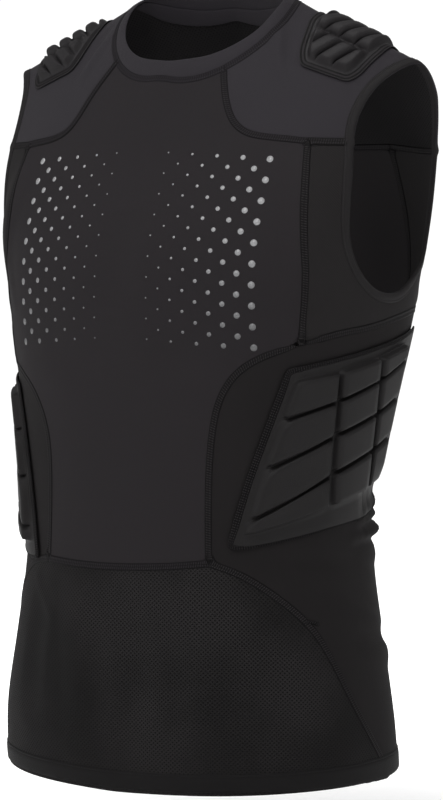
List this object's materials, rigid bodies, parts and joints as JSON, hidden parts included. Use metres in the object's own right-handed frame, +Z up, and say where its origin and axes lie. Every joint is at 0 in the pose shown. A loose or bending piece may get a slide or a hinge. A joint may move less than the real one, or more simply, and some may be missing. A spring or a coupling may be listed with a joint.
{
  "type": "padded compression shirt",
  "caption": "Sleeveless crew-neck compression shirt in its worn, hollow form, with foam pads over the shoulders and ribs.",
  "frame": {"origin": "between the shoulders, level with the shoulder line beside the neck, where the wearer's shoulders carry the shirt", "axes": "+Z up, +X to the wearer's left, the front faces -Y"},
  "size_m": [0.4394, 0.2624, 0.6873],
  "materials": {
    "smooth_knit": "smooth stretch knit, near-black charcoal, slight sheen",
    "front_knit": "smooth stretch knit, near-black, matte",
    "side_knit": "fine stretch mesh, near-black, matte",
    "hem_mesh": "fine perforated mesh knit, near-black, matte",
    "pad_skin": "knit over moulded foam, near-black, soft highlights"
  },
  "bodies": {
    "root": {"front_center": "front_knit", "front_hem_panel": "hem_mesh", "yoke": "smooth_knit", "back_panel": "front_knit", "neckband": "smooth_knit", "neck_tape": "smooth_knit", "chest_side_left": "side_knit", "side_panel_left": "side_knit", "rib_pad_left": "pad_skin", "shoulder_pad_left": "pad_skin", "chest_side_right": "side_knit", "side_panel_right": "side_knit", "rib_pad_right": "pad_skin", "shoulder_pad_right": "pad_skin"}
  },
  "joints": []
}
